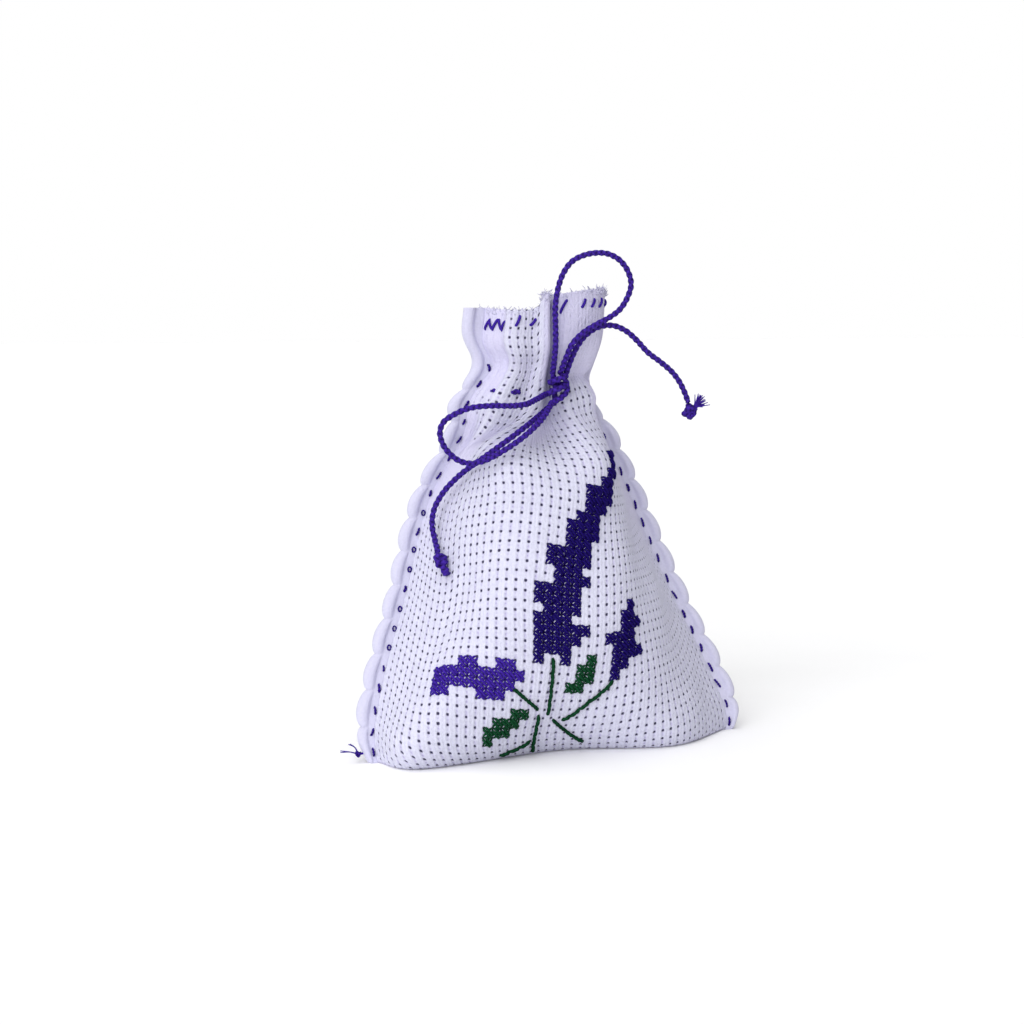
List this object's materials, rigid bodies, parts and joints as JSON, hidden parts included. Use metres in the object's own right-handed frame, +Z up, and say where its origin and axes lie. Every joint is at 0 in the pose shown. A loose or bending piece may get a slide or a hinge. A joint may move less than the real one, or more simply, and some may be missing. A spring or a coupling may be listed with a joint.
{
  "type": "lavender sachet",
  "caption": "Small drawstring sachet of folded counted-thread band with scalloped side edges, filled with dried lavender, its neck tied with a cord bow and its front cross-stitched with a sprig.",
  "frame": {"origin": "on the flat base that the sachet stands on, under the middle of its width, just behind the fold of the band", "axes": "+Z up from the base to the frilled mouth, +X across the sachet to its right side as seen from the front, +Y from the embroidered front to the plain back"},
  "size_m": [0.0881, 0.0487, 0.0972],
  "materials": {
    "cloth": "matt block-woven cotton",
    "edging": "matt, puffy woven edge",
    "violet_thread": "stranded thread with a slight sheen",
    "violet_cord": "twisted two-ply cord with a slight sheen",
    "green_thread": "stranded thread with a slight sheen",
    "dried_lavender": "dull dried buds"
  },
  "bodies": {
    "bag": {"front_panel": "cloth", "back_panel": "cloth", "front_left_edging": "edging", "front_right_edging": "edging", "back_left_edging": "edging", "back_right_edging": "edging", "front_mouth_stitches": "violet_thread", "back_mouth_stitches": "violet_thread", "lavender_filling": "dried_lavender", "left_seam_thread": "violet_thread", "right_seam_thread": "violet_thread", "seam_thread_end": "violet_thread", "neck_drawstring": "violet_cord", "bow_knot": "violet_cord", "tall_spike": "violet_thread", "left_spike": "violet_thread", "right_spike": "violet_thread", "left_leaf": "green_thread", "right_leaf": "green_thread", "stems": "green_thread"},
    "bow_upper_loop": {"upper_loop": "violet_cord"},
    "bow_left_loop": {"left_loop": "violet_cord"},
    "bow_right_tail": {"right_tail": "violet_cord", "right_end_knot": "violet_cord", "right_tassel": "violet_cord"},
    "bow_left_tail": {"left_tail": "violet_cord", "left_end_knot": "violet_cord", "left_stub": "violet_cord"}
  },
  "joints": [
    {"name": "upper_loop_tip", "type": "hinge", "parent": "bag", "child": "bow_upper_loop", "pos_m": [0.001, 0.0032, 0.0706], "axis": [1, 0, 0], "range_deg": [0, 60], "stiffness_Nm_per_rad": 0.0003},
    {"name": "left_loop_swing", "type": "hinge", "parent": "bag", "child": "bow_left_loop", "pos_m": [0.001, 0.0032, 0.0706], "axis": [0, 0, 1], "range_deg": [0, 60], "stiffness_Nm_per_rad": 0.0003},
    {"name": "right_tail_drop", "type": "hinge", "parent": "bag", "child": "bow_right_tail", "pos_m": [0.001, 0.0032, 0.0706], "axis": [0, 1, 0], "range_deg": [0, 40], "stiffness_Nm_per_rad": 0.0003},
    {"name": "left_tail_swing", "type": "hinge", "parent": "bag", "child": "bow_left_tail", "pos_m": [0.001, 0.0032, 0.0706], "axis": [0, 1, 0], "range_deg": [0, 22], "stiffness_Nm_per_rad": 0.0003}
  ]
}
